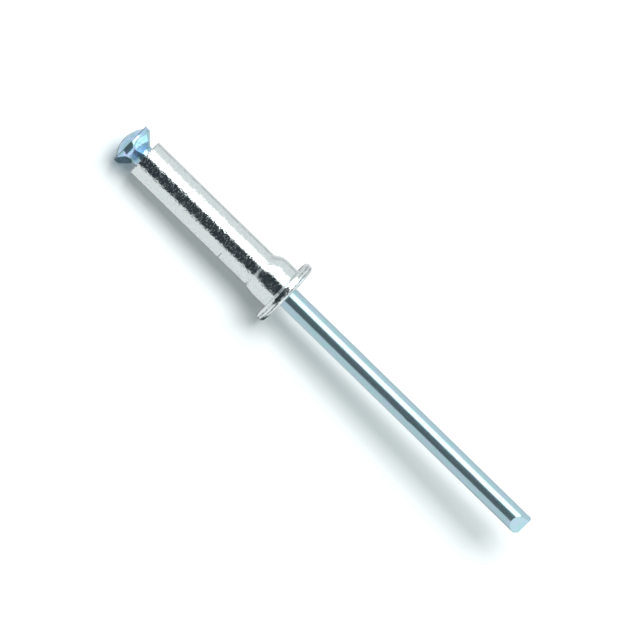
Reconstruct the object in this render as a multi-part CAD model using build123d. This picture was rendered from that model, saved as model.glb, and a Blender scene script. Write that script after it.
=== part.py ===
"""An open-end blind rivet (pop rivet) with a shouldered body, not yet set, lying at rest.

Two pieces: the hollow flanged body, and the headed mandrel that runs through it.
Both are drawn along X, with the flange's seat at X = 0, the mandrel's head towards -X and
its stem towards +X. They are then laid down together on a level surface at Z = 0, where
the rivet rests on the rim of the mandrel's head and the rim of the flange.

Directions round the axis are given as a roll: degrees from straight up, towards -Y.
Lengths are in millimetres and angles in degrees.
"""

from build123d import *
import math
import os

# Rivet body
TUBE_RADIUS = 2.00  # the part that swells when the rivet is set
TUBE_LENGTH = 18.38  # seat of the flange to the blind end
TUBE_EDGE = 0.06  # rounding of the blind end's outer edge
SHOULDER_RADIUS = 2.37  # fits the hole
SHOULDER_LENGTH = 2.73  # seat of the flange to the crease where the flare starts
FLARE_LENGTH = 1.30
SHOULDER_FILLET = 0.12
FLANGE_RADIUS = 3.59
FLANGE_OFFSET = 0.20  # cold heading leaves the flange off the tube's axis: at rest, upwards
FLANGE_RIM = 0.92  # thickness at the rim, before its edges are rounded
FLANGE_CROWN = 0.14  # rise of the domed face from the rim to the bore
FLANGE_SEAT_EDGE = 0.26  # rounding of the rim, on the seat's side
FLANGE_FACE_EDGE = 0.40  # rounding of the rim, on the domed side
BORE_EDGE = 0.08  # rounding of the bore's mouth in the flange

# Mandrel
STEM_RADIUS = 1.13
STEM_LENGTH = 33.18  # seat of the flange to the cropped end
BORE_CLEARANCE = 0.035  # radial, stem in bore
GRIP_CLEARANCE = 0.005  # radial, raised grip band in bore
GRIP_LENGTH = 0.80  # the rounded band that keeps the mandrel in the body
HEAD_GAP = 0.32  # blind end of the tube to the start of the head's taper
HEAD_RADIUS = 2.25
HEAD_TAPER = 1.65  # start of the taper to the plane of the rim
HEAD_CORNER_RIM = 0.60  # width of the rim where two flats meet
DOME_INSET = 0.35  # rim to the dome's base
DOME_HEIGHT = 0.68
NOTCH_DEPTH = 0.35  # where the mandrel breaks when the rivet is set
NOTCH_ANGLE = 60
NOTCH_INSET = 2.20  # blind end of the tube to the root of the notch

# Flats pressed into the head's taper. Each is (roll, width of the rim at the flat's middle).
HEAD_FLATS = [
    (5, 0.34),
    (97, 0.10),
    (187, 0.24),
    (277, 0.20),
]

# Cropped end of the stem. Each cut is (roll, angle to the axis, length along the stem).
CROP_CUTS = [
    (44, 38, 1.42),
    (224, 40, 1.20),
    (-6, 24, 1.08),
    (120, 45, 0.35),
]

BORE_RADIUS = STEM_RADIUS + BORE_CLEARANCE
FLANGE_THICKNESS = FLANGE_RIM + FLANGE_CROWN
NECK_END = TUBE_LENGTH + HEAD_GAP
RIM_PLANE = NECK_END + HEAD_TAPER


def near(profile, x, y):
    """The profile's corner nearest to a point, for rounding."""
    return profile.vertices().sort_by_distance((x, y, 0))[0]


def tube():
    """Plain tube, flare and shoulder, solid inside, turned round the rivet's axis."""
    blind_edge = (-TUBE_LENGTH, TUBE_RADIUS)
    crease = (-SHOULDER_LENGTH, TUBE_RADIUS)
    flare_end = (-SHOULDER_LENGTH + FLARE_LENGTH, SHOULDER_RADIUS)
    root = (0, SHOULDER_RADIUS)
    foot = (0, SHOULDER_RADIUS + 2 * SHOULDER_FILLET)
    middle = (FLANGE_RIM / 2, foot[1])
    with BuildSketch() as section:
        with BuildLine():
            Polyline((-TUBE_LENGTH, 0), blind_edge, crease)
            TangentArc(flare_end, crease, tangent=(-1, 0))
            Polyline(flare_end, root, foot, middle, (middle[0], 0), (-TUBE_LENGTH, 0))
        make_face()
        fillet(near(section, *blind_edge), TUBE_EDGE)
        fillet(near(section, *root), SHOULDER_FILLET)
    return revolve(section.sketch, Axis.X)


def flange():
    """Round flange with a flat seat, a rounded rim and a domed face, a little off the axis."""
    seat_rim = (0, FLANGE_RADIUS)
    face_rim = (FLANGE_RIM, FLANGE_RADIUS)
    crown = (FLANGE_THICKNESS, 0)
    with BuildSketch() as section:
        with BuildLine():
            Polyline(crown, (0, 0), seat_rim, face_rim)
            TangentArc(crown, face_rim, tangent=(0, 1))
        make_face()
        fillet(near(section, *seat_rim), FLANGE_SEAT_EDGE)
        fillet(near(section, *face_rim), FLANGE_FACE_EDGE)
    return Pos(0, 0, FLANGE_OFFSET) * revolve(section.sketch, Axis.X)


def rivet_body():
    """The hollow body: tube and flange are one piece of metal, bored through."""
    solid = tube() + flange()
    bore = Rot(0, 90, 0) * Cylinder(BORE_RADIUS, 4 * TUBE_LENGTH)
    bored = solid - bore
    bore_wall = bored.faces().filter_by(GeomType.CYLINDER).sort_by(lambda face: face.radius)[0]
    mouth = bore_wall.edges().filter_by(lambda edge: edge.center().X > FLANGE_RIM)
    return fillet(mouth, BORE_EDGE)


def sliced(blank, roll, angle, x):
    """The blank cut by a plane that enters the stem's surface at x and sinks towards +X."""
    size = HEAD_RADIUS * 4
    above = Box(size, size, size, align=(Align.CENTER, Align.CENTER, Align.MIN))
    slope = Pos(x, 0, STEM_RADIUS) * Rot(0, angle, 0)
    return blank - Rot(roll, 0, 0) * slope * above


def head():
    """Domed head with a round rim. Its taper to the neck is a cone with flats on it."""
    apex = (-RIM_PLANE - DOME_HEIGHT, 0)
    dome_edge = (-RIM_PLANE, HEAD_RADIUS - DOME_INSET)
    rim = (-RIM_PLANE, HEAD_RADIUS)
    rim_corner = (-RIM_PLANE + HEAD_CORNER_RIM, HEAD_RADIUS)
    with BuildSketch() as section:
        with BuildLine():
            TangentArc(apex, dome_edge, tangent=(0, 1))
            Polyline(dome_edge, rim, rim_corner, (-NECK_END, STEM_RADIUS), (-NECK_END, 0), apex)
        make_face()
    blank = revolve(section.sketch, Axis.X)
    for roll, rim_width in HEAD_FLATS:
        angle = math.degrees(math.atan2(HEAD_RADIUS - STEM_RADIUS, HEAD_TAPER - rim_width))
        blank = sliced(blank, roll, angle, -NECK_END)
    return blank


def stem():
    """Round stem from the head's taper to the cropped end, with notch and grip band."""
    notch = NOTCH_INSET - TUBE_LENGTH
    notch_half = NOTCH_DEPTH * math.tan(math.radians(NOTCH_ANGLE / 2))
    grip_end = FLANGE_RIM
    grip_start = grip_end - GRIP_LENGTH
    grip_top = (grip_end - GRIP_LENGTH / 2, BORE_RADIUS - GRIP_CLEARANCE)
    with BuildSketch() as section:
        with BuildLine():
            Polyline(
                (-NECK_END, 0),
                (-NECK_END, STEM_RADIUS),
                (notch - notch_half, STEM_RADIUS),
                (notch, STEM_RADIUS - NOTCH_DEPTH),
                (notch + notch_half, STEM_RADIUS),
                (grip_start, STEM_RADIUS),
            )
            ThreePointArc((grip_start, STEM_RADIUS), grip_top, (grip_end, STEM_RADIUS))
            Polyline(
                (grip_end, STEM_RADIUS),
                (STEM_LENGTH, STEM_RADIUS),
                (STEM_LENGTH, 0),
                (-NECK_END, 0),
            )
        make_face()
    blank = revolve(section.sketch, Axis.X)
    for roll, angle, length in CROP_CUTS:
        blank = sliced(blank, roll, angle, STEM_LENGTH - length)
    return blank


def rest_tilt():
    """How far the stem rises when the head's rim and the flange's rim both touch the surface."""
    reach = RIM_PLANE + FLANGE_SEAT_EDGE
    drop = FLANGE_RADIUS - FLANGE_OFFSET - FLANGE_SEAT_EDGE - HEAD_RADIUS
    to_edge = math.asin(FLANGE_SEAT_EDGE / math.hypot(reach, drop))
    return math.degrees(math.atan2(drop, reach) + to_edge)


def main():
    pieces = {"rivet_body": rivet_body(), "mandrel": head() + stem()}
    tilted = {name: Rot(0, -rest_tilt(), 0) * piece for name, piece in pieces.items()}
    box = Compound(list(tilted.values())).bounding_box()
    to_rest = Pos(-box.center().X, -box.center().Y, -box.min.Z)
    os.makedirs("parts", exist_ok=True)
    for name, piece in tilted.items():
        export_step(to_rest * piece, f"parts/{name}.step")


main()
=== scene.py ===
"""The looks of the blind rivet: its two metal pieces made finely, on a white table in a light tent.

Each piece is drawn along X in millimetres, with the flange's seat at X = 0, the mandrel's
head towards -X and its stem towards +X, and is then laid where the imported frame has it.
Directions round the axis are given as a roll: degrees from straight up, towards -Y.
Colours are linear red, green and blue, from 0 to 1.
"""

import math

import bmesh
import bpy
from mathutils import Matrix, Quaternion, Vector, noise


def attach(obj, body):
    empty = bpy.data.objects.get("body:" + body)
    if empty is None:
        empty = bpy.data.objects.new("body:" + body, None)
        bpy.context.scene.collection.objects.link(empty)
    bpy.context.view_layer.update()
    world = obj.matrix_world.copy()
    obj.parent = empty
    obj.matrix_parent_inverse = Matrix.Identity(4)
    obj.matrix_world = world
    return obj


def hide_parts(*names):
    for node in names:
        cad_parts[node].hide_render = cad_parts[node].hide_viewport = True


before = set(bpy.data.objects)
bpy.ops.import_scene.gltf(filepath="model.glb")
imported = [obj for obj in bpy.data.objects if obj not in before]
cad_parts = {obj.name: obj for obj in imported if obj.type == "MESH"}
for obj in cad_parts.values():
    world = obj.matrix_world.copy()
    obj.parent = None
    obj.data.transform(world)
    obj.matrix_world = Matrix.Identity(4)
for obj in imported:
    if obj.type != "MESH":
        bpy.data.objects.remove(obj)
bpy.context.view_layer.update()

MM = 0.001

# Where the CAD model lays the rivet: the middle of the flange's seat, and how far the stem rises
SEAT = Vector((-6.0823, 0, 3.3709))
REST_TILT = 3.167

# Rivet body, as in the CAD model
TUBE_RADIUS = 2.00
TUBE_LENGTH = 18.38
TUBE_EDGE = 0.06
SHOULDER_RADIUS = 2.37
SHOULDER_LENGTH = 2.73
SHOULDER_FILLET = 0.12
FLANGE_RADIUS = 3.59
FLANGE_OFFSET = 0.20
FLANGE_RIM = 0.92
FLANGE_CROWN = 0.14
FLANGE_SEAT_EDGE = 0.26
FLANGE_FACE_EDGE = 0.40
BORE_RADIUS = 1.165
BORE_EDGE = 0.08

# What cold heading left on the body. Waves are (height, length, seed of the noise).
CREASE = [  # X from the shoulder's start, radius from the tube's, rounding
    (-0.12, 0, 0.04),
    (-0.05, -0.05, 0.05),
    (0.04, 0.02, 0.05),
]
FLARE_CORNER = 2.14  # seat of the flange to where flare and shoulder would meet unrounded
FLARE_ROUNDING = 2.30
CROWN_BEND = (-0.03, 2.3, 5)  # X from the crown, radius, rounding
SHOULDER_UPSET = Vector((0, 0.11, 0.10))  # the shoulder is uneven: fuller at the back and on top
TUBE_WAVES = (0.003, 1.6, 3)
FLARE_WAVES = (0.020, 0.7, 11)
RIM_WAVES = (0.010, 0.9, 23)

# Mandrel, as in the CAD model
STEM_RADIUS = 1.13
STEM_LENGTH = 33.18
NECK_END = 18.70
HEAD_RADIUS = 2.25
HEAD_TAPER = 1.65
HEAD_CORNER_RIM = 0.60
HEAD_FLATS = [  # roll, width of the rim at the middle of the flat
    (5, 0.34),
    (97, 0.10),
    (187, 0.24),
    (277, 0.20),
]
DOME_RADIUS = 1.90
DOME_HEIGHT = 0.68
NOTCH_DEPTH = 0.35
NOTCH_ANGLE = 60
NOTCH_INSET = 2.20
CROP_CUTS = [  # roll, angle to the axis, length along the stem
    (44, 38, 1.42),
    (224, 40, 1.20),
    (-6, 24, 1.08),
    (120, 45, 0.35),
]
RIM_PLANE = NECK_END + HEAD_TAPER

# What pressing and handling left on the mandrel
HEAD_RIM_EDGE = 0.10
HEAD_CORNER_EDGE = 0.05
NECK_BEND = (0.5, 0.56, 0.5)  # X from the neck's end, radius from the stem's, rounding
NECK_FILLET = 0.3
NOTCH_EDGE = 0.02
FLAT_SINK = 0.03  # how far the flats reach into the neck
FLAT_START = 0.05  # the rim's plane to where the flats begin
FLAT_WHOLE = 0.12  # the rim's plane to where they are fully pressed in
RIDGE_SHARPNESS = 90  # of the ridges where the head's flats meet
NICK_X = 17.66
NICK_ROLL = 43
NICK_LENGTH = 0.30
NICK_WIDTH = 0.20
NICK_DEPTH = 0.035

# Painted shade lines on the body and the head, the body's real scratches, and how far the head's tints
# reach
# Painted shade: dark lines round the flange's rim, where the shade of its fine grooves would fall; the
# grooves are not modelled
RIM_SHADE_LINES = (0.34, 0.68)  # places along X
RIM_SHADE_LINE_WIDTH = 0.12
# Painted shade: a dark line near the tube's blind end, standing in for shade mirrored in the end's edge
END_SHADE_LINE_INSET = 0.06
END_SHADE_LINE_WIDTH = 0.09
SCRATCHES = ((-3.78, 33, 19), (-6.56, 95, 20))  # place along X, roll, reach to either side
SCRATCH_WIDTH = 0.07
# The dark colour of the painted shade lines and of the real scratches
SHADE_LINE_AND_SCRATCH_COLOUR = (0.12, 0.13, 0.13, 1)
# Painted shade: a dark line round the head, at the edge between its dome and rim
HEAD_SHADE_LINE_INSET = 0.04
HEAD_SHADE_LINE_WIDTH = 0.08
HEAD_SHADE_LINE_COLOUR = (0.12, 0.18, 0.20, 1)
HEAD_TINT_REACH = 0.2  # how far onto the stem the head's tints go

# Fineness of the meshes
RING_SEGMENTS = 192
RING_STEP = 0.16
ARC_STEP = math.radians(9)

# The tent that the metal mirrors. Its angles go round the X axis: 0 is level to the front, 90 is up.
TENT_STRENGTH = 3.0
TENT_CLOTH = ((-100, 0.31), (-85, 0.345), (10, 0.345), (60, 0.33))  # angle, brightness
TENT_GLOW = (0.103, 0.129, 0.130, 1)  # what the tent gives the table
BACKDROP = (0.33, 0.33, 0.33, 1)
PANEL_SIDE_SOFTNESS = 0.03
TENT_PANELS = [  # angles from and to, X from and to, colour, softness of upper and lower edge
    (-174, -164, -1, 1, (0.19, 0.19, 0.19, 1), 1.5),  # grey band, low at the back
    (-25, 50, 0.80, 1, (0.45, 0.47, 0.47, 1), 15),  # pale card past the stem's end
    # The next two bands are painted shadow: the table's shade under the rivet, put into the tent for the
    # metal to mirror
    (-120, -98, -0.3, 0.2, (0.10, 0.10, 0.10, 1), 4),  # dark band underneath
    (-112, -70, 0.2, 0.6, (0.03, 0.04, 0.04, 1), 10),  # darker band underneath, towards the stem
    (130, 178, 0.80, 0.87, (0.60, 0.68, 0.76, 1), 8),  # bluish card at the back, past the stem's end
    (78, 118, -0.97, 0.4, (0.42, 0.42, 0.42, 1), 16),  # glow round the softbox
    (78, 121, -0.97, 0.4, (1.0, 1.0, 1.0, 1), 0.7),  # softbox overhead
    (10, 75.5, -0.97, 0.3, (0.0135, 0.0175, 0.0205, 1), 1),  # dark opening on the camera's side
]
LAMP_DISTANCE = 1.2

# The camera: its direction from the rivet, its roll, and the place it aims at
CAMERA_AZIMUTH = -11.314
CAMERA_ELEVATION = 59.350
CAMERA_ROLL = 55.641
CAMERA_DISTANCE = 0.450
CAMERA_AIM = Vector((-1.248, 0.529, 3.875))
CAMERA_LENS = 260.65


def mix(a, b, share):
    """The value that lies a share of the way from a to b."""
    return a + (b - a) * share


def ease(value, low, high):
    """0 below low, 1 above high, and smooth between them."""
    share = min(max((value - low) / (high - low), 0), 1)
    return share * share * (3 - 2 * share)


# ---------------------------------------------------------------- shapes


def rounded(corners):
    """The line through corners (x, radius, rounding), with each corner rounded by an arc."""
    points = []
    for index, (x, radius, rounding) in enumerate(corners):
        corner = Vector((x, radius))
        if index in (0, len(corners) - 1) or rounding == 0:
            points.append(corner)
            continue
        back = (Vector(corners[index - 1][:2]) - corner).normalized()
        ahead = (Vector(corners[index + 1][:2]) - corner).normalized()
        turn = math.pi - back.angle(ahead)
        centre = corner + (back + ahead).normalized() * rounding / math.cos(turn / 2)
        start = corner + back * rounding * math.tan(turn / 2) - centre
        end = corner + ahead * rounding * math.tan(turn / 2) - centre
        steps = max(2, math.ceil(turn / ARC_STEP))
        for step in range(steps + 1):
            points.append(centre + start.slerp(end, step / steps) * rounding)
    return points


def spaced(points, step=RING_STEP):
    """The same line with points added, so that none are further apart than a step."""
    line = [points[0]]
    for start, end in zip(points, points[1:]):
        count = max(1, math.ceil((end - start).length / step))
        line += [start.lerp(end, part / count) for part in range(1, count + 1)]
    return line


def turned(name, line, shape):
    """A mesh turned round the X axis from a line of (x, radius). shape(x, radius, roll) gives each point.

    A line that starts and ends off the axis is joined into a closed ring; one that starts
    and ends on the axis is closed by a fan at each end.
    """
    made = bmesh.new()
    ring_shaped = line[0][1] > 0
    rings = []
    for x, radius in line if ring_shaped else line[1:-1]:
        rolls = [math.tau * index / RING_SEGMENTS for index in range(RING_SEGMENTS)]
        rings.append([made.verts.new(shape(x, radius, roll)) for roll in rolls])
    if ring_shaped:
        rings.append(rings[0])
    for ring, following in zip(rings, rings[1:]):
        for index in range(RING_SEGMENTS):
            beside = (index + 1) % RING_SEGMENTS
            made.faces.new((ring[index], ring[beside], following[beside], following[index]))
    if not ring_shaped:
        for ring, (x, _) in ((rings[0], line[0]), (rings[-1], line[-1])):
            apex = made.verts.new((x, 0, 0))
            for index in range(RING_SEGMENTS):
                made.faces.new((ring[index], ring[(index + 1) % RING_SEGMENTS], apex))
    bmesh.ops.recalc_face_normals(made, faces=made.faces)
    for face in made.faces:
        face.smooth = True
    mesh = bpy.data.meshes.new(name)
    made.to_mesh(mesh)
    made.free()
    return mesh


def at_roll(x, radius, roll):
    """A point at a distance from the axis, in the direction of a roll in radians."""
    return Vector((x, -radius * math.sin(roll), radius * math.cos(roll)))


def waves(x, radius, roll, kind):
    """How high random waves of one kind lift the surface at a place."""
    height, length, seed = kind
    return height * noise.noise(at_roll(x, radius, roll) / length + Vector((seed, 0, 0)))


def body_point(x, radius, roll):
    """The body's surface: even on the tube, lumpy where it was upset into the flare and flange.

    Each share is 1 on its part of the surface and 0 off it, and runs smoothly between them.
    """
    outside = ease(radius, BORE_RADIUS + 0.1, BORE_RADIUS + 0.4)
    on_tube = 1 - ease(x, -SHOULDER_LENGTH, -SHOULDER_LENGTH + 0.3)
    on_flare = (1 - on_tube) * (1 - ease(x, -1.5, -0.6))
    on_rim = ease(radius, FLANGE_RADIUS - 0.5, FLANGE_RADIUS - 0.2)
    push = waves(x, radius, roll, TUBE_WAVES) * on_tube
    push += waves(x, radius, roll, FLARE_WAVES) * on_flare
    push += waves(x, radius, roll, RIM_WAVES) * on_rim
    on_flange = ease(radius, SHOULDER_RADIUS + 0.1, FLANGE_RADIUS - 0.3) * ease(x, -0.05, 0)
    on_shoulder = ease(x, -SHOULDER_LENGTH, -1.8) * outside
    shoulder_shift = SHOULDER_UPSET * on_shoulder
    flange_shift = Vector((0, 0, FLANGE_OFFSET))
    point = at_roll(x, radius + push * outside, roll)
    return point + shoulder_shift.lerp(flange_shift, on_flange)


def body_mesh():
    """The body, from halfway along its bore round the outside and back into the bore."""
    crease = [(x - SHOULDER_LENGTH, TUBE_RADIUS + rise, edge) for x, rise, edge in CREASE]
    crown = FLANGE_RIM + FLANGE_CROWN
    bend_x, bend_radius, bend_rounding = CROWN_BEND
    halfway_in_bore = (-TUBE_LENGTH / 2, BORE_RADIUS, 0)
    line = rounded(
        [
            halfway_in_bore,
            (-TUBE_LENGTH, BORE_RADIUS, BORE_EDGE),
            (-TUBE_LENGTH, TUBE_RADIUS, TUBE_EDGE),
            *crease,
            (-FLARE_CORNER, SHOULDER_RADIUS, FLARE_ROUNDING),
            (0, SHOULDER_RADIUS, SHOULDER_FILLET),
            (0, FLANGE_RADIUS, FLANGE_SEAT_EDGE),
            (FLANGE_RIM, FLANGE_RADIUS, FLANGE_FACE_EDGE),
            (crown + bend_x, bend_radius, bend_rounding),
            (crown, BORE_RADIUS, BORE_EDGE),
            halfway_in_bore,
        ]
    )
    return turned("rivet_body", spaced(line)[:-1], body_point)


def pressed_flats(x, radius, roll):
    """The radius of the head's taper where the four flats are pressed into it, ridges softened."""
    total = radius**-RIDGE_SHARPNESS
    for flat_roll, rim in HEAD_FLATS:
        facing = math.cos(roll - math.radians(flat_roll))
        rise = (HEAD_RADIUS - STEM_RADIUS) / (HEAD_TAPER - rim)
        flat = STEM_RADIUS - FLAT_SINK + (-NECK_END - x) * rise
        if facing > 0.2:  # a flat reaches only the side that it faces
            total += (flat / facing) ** -RIDGE_SHARPNESS
    return total ** (-1 / RIDGE_SHARPNESS)


def mandrel_point(x, radius, roll):
    """The mandrel's surface, with the flats under its head and a nick in its stem."""
    if FLAT_START - RIM_PLANE < x < -NECK_END:
        pressed = pressed_flats(x, radius, roll)
        share = ease(x, FLAT_START - RIM_PLANE, FLAT_WHOLE - RIM_PLANE)
        radius = mix(radius, pressed, share)
    along = (x - NICK_X) / NICK_LENGTH
    around = (roll - math.radians(NICK_ROLL)) * STEM_RADIUS / NICK_WIDTH
    radius -= NICK_DEPTH * math.exp(-(along**2) - around**2)
    return at_roll(x, radius, roll)


def dome(steps=12):
    """Points of the head's dome, from its middle to its edge."""
    sphere = (DOME_RADIUS**2 + DOME_HEIGHT**2) / (2 * DOME_HEIGHT)
    reach = math.asin(DOME_RADIUS / sphere)
    centre = -RIM_PLANE - DOME_HEIGHT + sphere
    angles = [reach * step / steps for step in range(steps + 1)]
    return [(centre - sphere * math.cos(a), sphere * math.sin(a), 0) for a in angles]


def mandrel_mesh():
    """The mandrel, from the middle of its dome to the end of its stem, which is then nipped off."""
    notch = NOTCH_INSET - TUBE_LENGTH
    notch_half = NOTCH_DEPTH * math.tan(math.radians(NOTCH_ANGLE / 2))
    bend_x, bend_rise, bend_rounding = NECK_BEND
    line = rounded(
        dome()
        + [
            (-RIM_PLANE, HEAD_RADIUS, HEAD_RIM_EDGE),
            (-RIM_PLANE + HEAD_CORNER_RIM, HEAD_RADIUS, HEAD_CORNER_EDGE),
            (-NECK_END - bend_x, STEM_RADIUS + bend_rise, bend_rounding),
            (-NECK_END, STEM_RADIUS, NECK_FILLET),
            (notch - notch_half, STEM_RADIUS, NOTCH_EDGE),
            (notch, STEM_RADIUS - NOTCH_DEPTH, NOTCH_EDGE),
            (notch + notch_half, STEM_RADIUS, NOTCH_EDGE),
            (STEM_LENGTH, STEM_RADIUS, 0),
            (STEM_LENGTH, 0, 0),
        ]
    )
    mesh = turned("mandrel", spaced(line), mandrel_point)
    made = bmesh.new()
    made.from_mesh(mesh)
    for roll, angle, length in CROP_CUTS:
        nip(made, math.radians(roll), math.radians(angle), length)
    made.to_mesh(mesh)
    made.free()
    return mesh


def nip(made, roll, angle, length):
    """Cuts the end of the stem with one flat, at an angle to the axis, and closes the cut."""
    on_cut = at_roll(STEM_LENGTH - length, STEM_RADIUS, roll)
    outward = Vector((math.sin(angle), 0, math.cos(angle)))
    outward.rotate(Matrix.Rotation(roll, 3, "X"))
    geometry = made.verts[:] + made.edges[:] + made.faces[:]
    cut = bmesh.ops.bisect_plane(
        made, geom=geometry, dist=1e-5, plane_co=on_cut, plane_no=outward, clear_outer=True
    )
    rim = [item for item in cut["geom_cut"] if isinstance(item, bmesh.types.BMEdge)]
    for edge in rim:
        edge.smooth = False
    filled = bmesh.ops.contextual_create(made, geom=rim)
    for face in filled["faces"]:
        face.smooth = False


def lay_down(name, mesh, material):
    """Makes a piece from a mesh drawn along X in millimetres, in the place of the CAD node of its name."""
    piece = bpy.data.objects.new(name + "_metal", mesh)
    bpy.context.scene.collection.objects.link(piece)
    tilt = Matrix.Rotation(-math.radians(REST_TILT), 4, "Y")
    mesh.transform(Matrix.Scale(MM, 4) @ Matrix.Translation(SEAT) @ tilt)
    mesh.materials.append(material)
    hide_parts(name)
    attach(piece, "root")
    return piece


# ---------------------------------------------------------------- materials


def enable(data):
    """Gives a material or world its node tree."""
    data.use_nodes = True
    return data.node_tree


class Nodes:
    """A short way to add nodes to a material or world and join them."""

    def __init__(self, tree):
        self.tree = tree
        tree.nodes.clear()

    def add(self, kind, inputs=(), **settings):
        node = self.tree.nodes.new(kind)
        for name, value in settings.items():
            setattr(node, name, value)
        for name, value in dict(inputs).items():
            if isinstance(value, bpy.types.NodeSocket):
                self.tree.links.new(value, node.inputs[name])
            else:
                node.inputs[name].default_value = value
        return node

    def math(self, operation, *values):
        inputs = {index: value for index, value in enumerate(values)}
        return self.add("ShaderNodeMath", inputs, operation=operation).outputs[0]

    def ramp(self, value, stops):
        """A colour ramp. Each stop is (position, brightness) or (position, colour)."""
        node = self.add("ShaderNodeValToRGB", {"Fac": value})
        points = node.color_ramp.elements
        while len(points) < len(stops):
            points.new(0.5)
        for point, (position, colour) in zip(points, stops):
            point.position = position
            if not isinstance(colour, tuple):
                colour = (colour, colour, colour)
            point.color = (*colour, 1)
        return node.outputs["Color"]


def along_and_round(nodes, along, around):
    """Coordinates on a turned piece, in millimetres, divided by a length along and a length round it."""
    place = {
        "Vector": nodes.add("ShaderNodeTexCoord").outputs["Object"],
        "Location": SEAT * MM,
        "Rotation": (0, -math.radians(REST_TILT), 0),
        "Scale": (along * MM, around * MM, around * MM),
    }
    return nodes.add("ShaderNodeMapping", place, vector_type="TEXTURE").outputs[0]


def noise_of(nodes, vector, detail=2.0, roughness=0.5):
    """Random noise from 0 to 1, one wave to each unit of the coordinates."""
    inputs = {"Vector": vector, "Scale": 1.0, "Detail": detail, "Roughness": roughness}
    return nodes.add("ShaderNodeTexNoise", inputs).outputs["Fac"]


def mix_colours(nodes, share, first, second):
    """A mix of two colours. The mix node's colours are its sockets 6 and 7, and its third output."""
    inputs = {"Factor": share, 6: first, 7: second}
    return nodes.add("ShaderNodeMix", inputs, data_type="RGBA").outputs[2]


def line_round(nodes, x, width, roll=0, reach=180):
    """1 on a line round the piece at x, across a reach of rolls in degrees; 0 elsewhere."""
    place = nodes.add("ShaderNodeSeparateXYZ", {"Vector": along_and_round(nodes, 1, 1)}).outputs
    across = nodes.math("COMPARE", place["X"], x, width / 2)
    front = nodes.math("MULTIPLY", place["Y"], -1.0)
    angle = nodes.math("ARCTAN2", front, place["Z"])
    around = nodes.math("COMPARE", angle, math.radians(roll), math.radians(reach))
    return nodes.math("MULTIPLY", across, around)


def bright_metal():
    """The body's bright plating, orange-peeled by forming, with scratches round the tube, and painted
    shade: dark lines round the flange's rim and near the tube's blind end.
    """
    material = bpy.data.materials.new("bright_plating")
    nodes = Nodes(enable(material))
    peel = noise_of(nodes, along_and_round(nodes, 0.22, 0.30), 2)
    chatter = noise_of(nodes, along_and_round(nodes, 0.10, 0.32), 2, 0.6)
    height = nodes.math("MULTIPLY_ADD", chatter, 0.55, peel)
    bump = nodes.add("ShaderNodeBump", {"Height": height, "Strength": 1.0, "Distance": 0.034 * MM})
    # Breaks the painted shade lines up into specks
    shade_line_breakup = noise_of(nodes, along_and_round(nodes, 0.12, 0.22), 2, 0.7)
    speckled = nodes.math("GREATER_THAN", shade_line_breakup, 0.50)
    # Painted shade: dark lines near the tube's blind end and round the flange's rim, not the plating's own
    # colour
    lines = line_round(nodes, END_SHADE_LINE_INSET - TUBE_LENGTH, END_SHADE_LINE_WIDTH)
    for x in RIM_SHADE_LINES:
        lines = nodes.math("ADD", lines, line_round(nodes, x, RIM_SHADE_LINE_WIDTH))
    shade_lines_and_scratches = nodes.math("MULTIPLY", lines, speckled)
    for x, roll, reach in SCRATCHES:
        shade_lines_and_scratches = nodes.math("ADD", shade_lines_and_scratches, line_round(nodes, x, SCRATCH_WIDTH, roll, reach))
    tint = nodes.ramp(peel, [(0.3, (0.60, 0.665, 0.675)), (0.7, (0.67, 0.73, 0.735))])
    metal = {
        "Base Color": mix_colours(nodes, shade_lines_and_scratches, tint, SHADE_LINE_AND_SCRATCH_COLOUR),
        "Metallic": 1.0,
        "Roughness": nodes.ramp(chatter, [(0.52, 0.06), (0.64, 0.30)]),
        "Normal": bump.outputs[0],
    }
    surface = nodes.add("ShaderNodeBsdfPrincipled", metal)
    nodes.add("ShaderNodeOutputMaterial", {"Surface": surface.outputs[0]})
    return material


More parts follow.
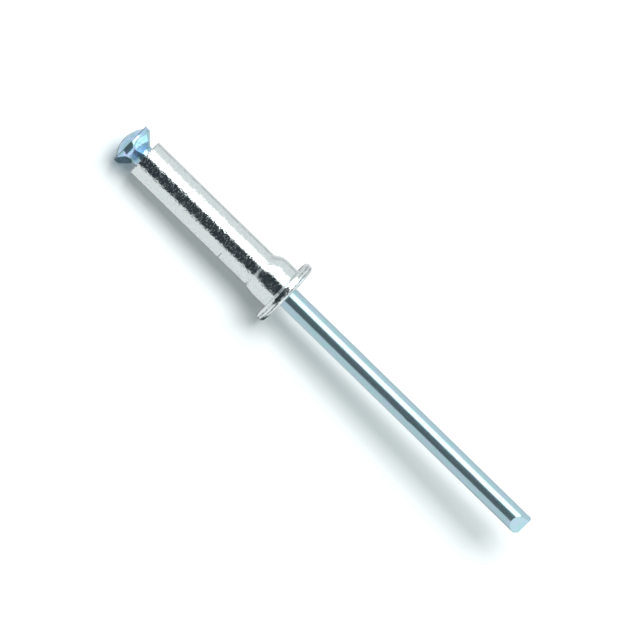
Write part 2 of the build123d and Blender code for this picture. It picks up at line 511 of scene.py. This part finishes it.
def zinc_metal():
    """The mandrel's clear zinc plating: bluish, turning to teal and lavender, with drawing lines, and a
    painted dark line of shade at the edge between the head's dome and rim.
    """
    material = bpy.data.materials.new("zinc_plating")
    nodes = Nodes(enable(material))
    drawn = noise_of(nodes, along_and_round(nodes, 5, 0.12), 2)
    cloud = noise_of(nodes, along_and_round(nodes, 0.9, 0.9), 2)
    stem_tint = nodes.ramp(
        cloud,
        [(0.35, (0.34, 0.54, 0.57)), (0.5, (0.37, 0.53, 0.58)), (0.65, (0.39, 0.51, 0.61))],
    )
    head_tint = nodes.ramp(
        noise_of(nodes, along_and_round(nodes, 0.55, 0.75), 2),
        [
            (0.34, (0.30, 0.52, 0.54)),
            (0.46, (0.33, 0.54, 0.66)),
            (0.56, (0.38, 0.56, 0.80)),
            (0.68, (0.52, 0.60, 0.84)),
        ],
    )
    place = nodes.add("ShaderNodeSeparateXYZ", {"Vector": along_and_round(nodes, 1, 1)}).outputs
    on_head = nodes.math("LESS_THAN", place["X"], HEAD_TINT_REACH - NECK_END)
    # Painted shade: a dark line round the head at the edge of its dome
    painted_rim_shade = line_round(nodes, HEAD_SHADE_LINE_INSET - RIM_PLANE, HEAD_SHADE_LINE_WIDTH)
    head_tint = mix_colours(nodes, painted_rim_shade, head_tint, HEAD_SHADE_LINE_COLOUR)
    scuffed = nodes.ramp(drawn, [(0.3, 0.16), (0.7, 0.25)])
    dents = nodes.math("MULTIPLY", on_head, noise_of(nodes, along_and_round(nodes, 0.6, 0.6), 1))
    height = nodes.math("MULTIPLY_ADD", dents, 9.0, drawn)
    bump = nodes.add("ShaderNodeBump", {"Height": height, "Strength": 1.0, "Distance": 0.004 * MM})
    metal = {
        "Base Color": mix_colours(nodes, on_head, stem_tint, head_tint),
        "Metallic": 0.90,
        "Roughness": mix_colours(nodes, on_head, scuffed, (0.13, 0.13, 0.13, 1)),
        "Normal": bump.outputs[0],
    }
    surface = nodes.add("ShaderNodeBsdfPrincipled", metal)
    nodes.add("ShaderNodeOutputMaterial", {"Surface": surface.outputs[0]})
    return material


# ---------------------------------------------------------------- studio


def white_table():
    """A white card table. Hidden from the metal, which mirrors the lower part of the tent instead, where
    the table's shadow under the rivet is painted.
    """
    bpy.ops.mesh.primitive_plane_add(size=2)
    table = bpy.context.object
    table.name = "table"
    table.visible_glossy = False
    material = bpy.data.materials.new("white_card")
    nodes = Nodes(enable(material))
    paper = {"Base Color": (0.9, 0.9, 0.9, 1), "Roughness": 0.9, "Specular IOR Level": 0.0}
    surface = nodes.add("ShaderNodeBsdfPrincipled", paper)
    nodes.add("ShaderNodeOutputMaterial", {"Surface": surface.outputs[0]})
    table.data.materials.append(material)


def hang_panel(nodes, behind, turn, sideways, panel):
    """The colour of the tent with a panel hung in it, in front of what is behind."""
    low, high, left, right, colour, soft = panel
    angles = (low - soft, low, high, high + soft)
    shown = (0.0, 1.0, 1.0, 0.0)
    height = nodes.ramp(turn, [(share_of_turn(angle), share) for angle, share in zip(angles, shown)])
    sides = (left / 2 + 0.5, right / 2 + 0.5)
    widths = (sides[0] - PANEL_SIDE_SOFTNESS, *sides, sides[1] + PANEL_SIDE_SOFTNESS)
    width = nodes.ramp(sideways, list(zip(widths, shown)))
    return mix_colours(nodes, nodes.math("MULTIPLY", height, width), behind, colour)


def share_of_turn(degrees):
    """An angle round the tent as a share from 0, at -180 degrees, to 1."""
    return degrees / 360 + 0.5


def light_tent():
    """The surroundings: a white tent with a dark opening on the camera's side and a softbox overhead.

    Metal sees the tent. The table is lit by the lamps and by an even light of the tent.
    """
    world = bpy.data.worlds.new("tent")
    bpy.context.scene.world = world
    nodes = Nodes(enable(world))
    direction = nodes.add("ShaderNodeTexCoord").outputs["Generated"]
    axes = nodes.add("ShaderNodeSeparateXYZ", {"Vector": direction}).outputs
    toward_front = nodes.math("MULTIPLY", axes["Y"], -1.0)
    angle = nodes.math("ARCTAN2", axes["Z"], toward_front)
    turn = nodes.math("MULTIPLY_ADD", angle, 1 / math.tau, 0.5)
    sideways = nodes.math("MULTIPLY_ADD", axes["X"], 0.5, 0.5)
    tent = nodes.ramp(turn, [(share_of_turn(place), shade) for place, shade in TENT_CLOTH])
    for panel in TENT_PANELS:
        tent = hang_panel(nodes, tent, turn, sideways, panel)
    paths = nodes.add("ShaderNodeLightPath").outputs
    tent = mix_colours(nodes, paths["Is Diffuse Ray"], tent, TENT_GLOW)
    tent = mix_colours(nodes, paths["Is Camera Ray"], tent, BACKDROP)
    background = nodes.add("ShaderNodeBackground", {"Color": tent, "Strength": TENT_STRENGTH})
    nodes.add("ShaderNodeOutputWorld", {"Surface": background.outputs[0]})


def square_lamp(name, lean, size, energy):
    """A lamp above the rivet, leaning back from straight up by an angle in degrees."""
    light = bpy.data.lights.new(name, "AREA")
    light.shape = "SQUARE"
    light.size = size
    light.energy = energy
    lamp = bpy.data.objects.new(name, light)
    bpy.context.scene.collection.objects.link(lamp)
    upward = Vector((0, math.sin(math.radians(lean)), math.cos(math.radians(lean))))
    lamp.location = upward * LAMP_DISTANCE
    lamp.rotation_euler = upward.to_track_quat("Z", "Y").to_euler()
    lamp.visible_glossy = False


def add_camera():
    """Looks down on the rivet from the front, 59 degrees above the table, and rolled."""
    camera_data = bpy.data.cameras.new("camera")
    camera_data.sensor_width = 36
    camera_data.lens = CAMERA_LENS
    camera_data.clip_start = 0.005
    camera_data.clip_end = 20
    camera = bpy.data.objects.new("camera", camera_data)
    bpy.context.scene.collection.objects.link(camera)
    azimuth = math.radians(CAMERA_AZIMUTH)
    elevation = math.radians(CAMERA_ELEVATION)
    back = Vector(
        (
            math.sin(azimuth) * math.cos(elevation),
            -math.cos(azimuth) * math.cos(elevation),
            math.sin(elevation),
        )
    )
    camera.location = CAMERA_AIM * MM + back * CAMERA_DISTANCE
    level = back.to_track_quat("Z", "Y")
    rolled = level @ Quaternion((0, 0, 1), math.radians(CAMERA_ROLL))
    camera.rotation_euler = rolled.to_euler()
    bpy.context.scene.camera = camera


lay_down("rivet_body", body_mesh(), bright_metal())
lay_down("mandrel", mandrel_mesh(), zinc_metal())
white_table()
light_tent()
square_lamp("main_lamp", lean=10, size=0.92, energy=8.8)
square_lamp("back_lamp", lean=27, size=0.96, energy=5.5)
add_camera()
bpy.context.scene.view_settings.view_transform = "Standard"
